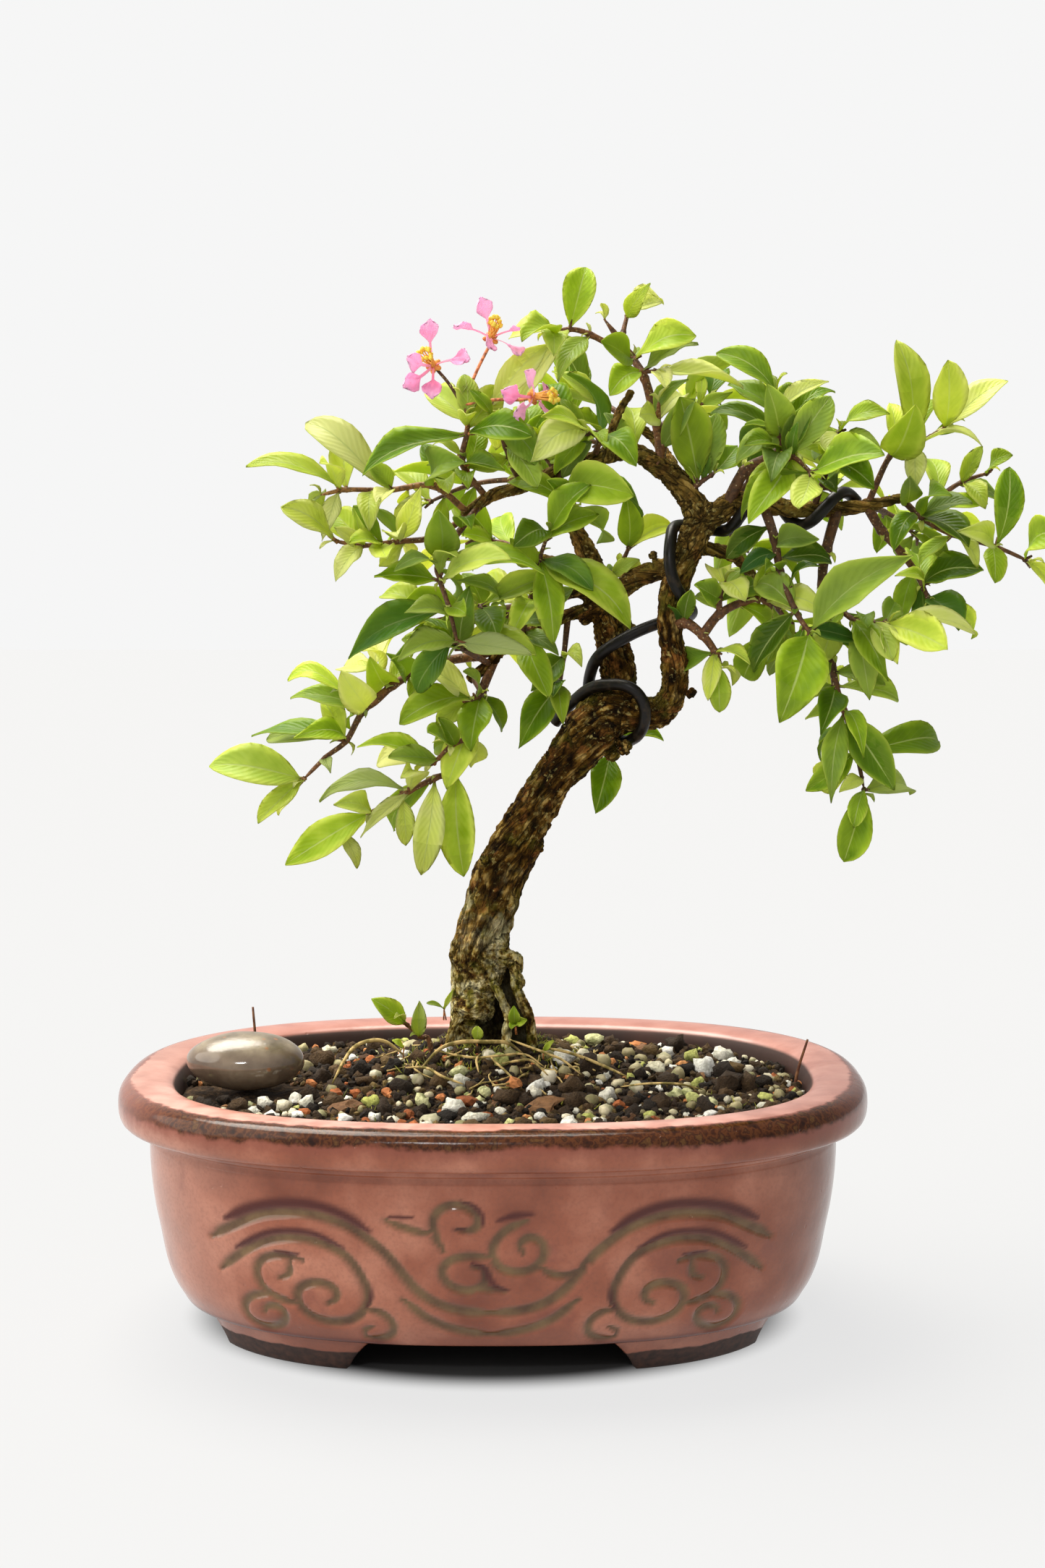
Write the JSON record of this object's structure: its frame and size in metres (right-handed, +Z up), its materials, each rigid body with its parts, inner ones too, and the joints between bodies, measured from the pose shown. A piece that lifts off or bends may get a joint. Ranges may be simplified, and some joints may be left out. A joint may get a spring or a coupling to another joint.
{
  "type": "barbados cherry bonsai",
  "caption": "Small flowering bonsai tree with a wired, forked trunk and glossy paired leaves, growing in gravelly soil in an oval glazed pot on corner feet.",
  "frame": {"origin": "on the ground, under the middle of the whole plant and pot", "axes": "+X along the pot's length, the picture's right; -Y the picture's front; +Z up"},
  "size_m": [0.224, 0.1406, 0.251],
  "materials": {
    "glaze": "glossy dusty pink glaze that breaks purple brown at the edges, with incised scrolls; bare brown clay under the feet",
    "plastic_mesh": "matt black mesh",
    "soil": "loose bark and soil crumbs with pumice, pebbles and fired clay grains",
    "polished_stone": "polished grey olive pebble",
    "bark": "fissured brown bark with pale lichen low down and some green moss",
    "black_wire": "satin black anodised",
    "leaf": "glossy green leaves, lime green and translucent when young, on red brown twigs",
    "petal": "thin crinkled pink petals",
    "stamen": "matt yellow",
    "dry_stalk": "dry brown stalk"
  },
  "bodies": {
    "root": {"pot": "glaze", "drain_screen_left": "plastic_mesh", "drain_screen_right": "plastic_mesh", "soil": "soil", "polished_stone": "polished_stone", "trunk": "bark", "training_wire": "black_wire", "upper_left_shoot": "leaf", "left_spur_shoot": "leaf", "front_left_shoot": "leaf", "flower_shoot": "leaf", "upper_front_shoot": "leaf", "crown_shoot": "leaf", "fork_shoot": "leaf", "right_crown_shoot": "leaf", "right_high_shoot": "leaf", "far_right_top_shoot": "leaf", "far_right_shoot": "leaf", "right_hanging_shoot": "leaf", "front_hanging_shoot": "leaf", "mid_hanging_shoot": "leaf", "low_right_shoot": "leaf", "outer_left_shoot": "leaf", "inner_left_shoot": "leaf", "left_tip_shoot": "leaf", "left_front_shoot": "leaf", "small_hanging_shoot": "leaf", "front_riser_shoot": "leaf", "riser_low_shoot": "leaf", "under_arm_shoot": "leaf", "over_arm_shoot": "leaf", "left_top_shoot": "leaf", "leader_shoot": "leaf", "trunk_shoot": "leaf", "seedling": "leaf", "back_left_tip_shoot": "leaf", "back_left_low_shoot": "leaf", "back_left_inner_shoot": "leaf", "back_right_tip_shoot": "leaf", "back_right_low_shoot": "leaf", "back_right_top_shoot": "leaf", "back_crown_shoot": "leaf", "back_crown_right_shoot": "leaf", "back_crown_left_shoot": "leaf", "far_back_shoot": "leaf", "back_hanging_shoot": "leaf", "left_back_shoot": "leaf", "low_back_shoot": "leaf", "blossom_left": "petal", "blossom_top": "petal", "blossom_side": "petal", "stamens_left": "stamen", "stamens_top": "stamen", "stamens_side": "stamen", "dry_stalk_left": "dry_stalk", "dry_stalk_right": "dry_stalk"}
  },
  "joints": []
}
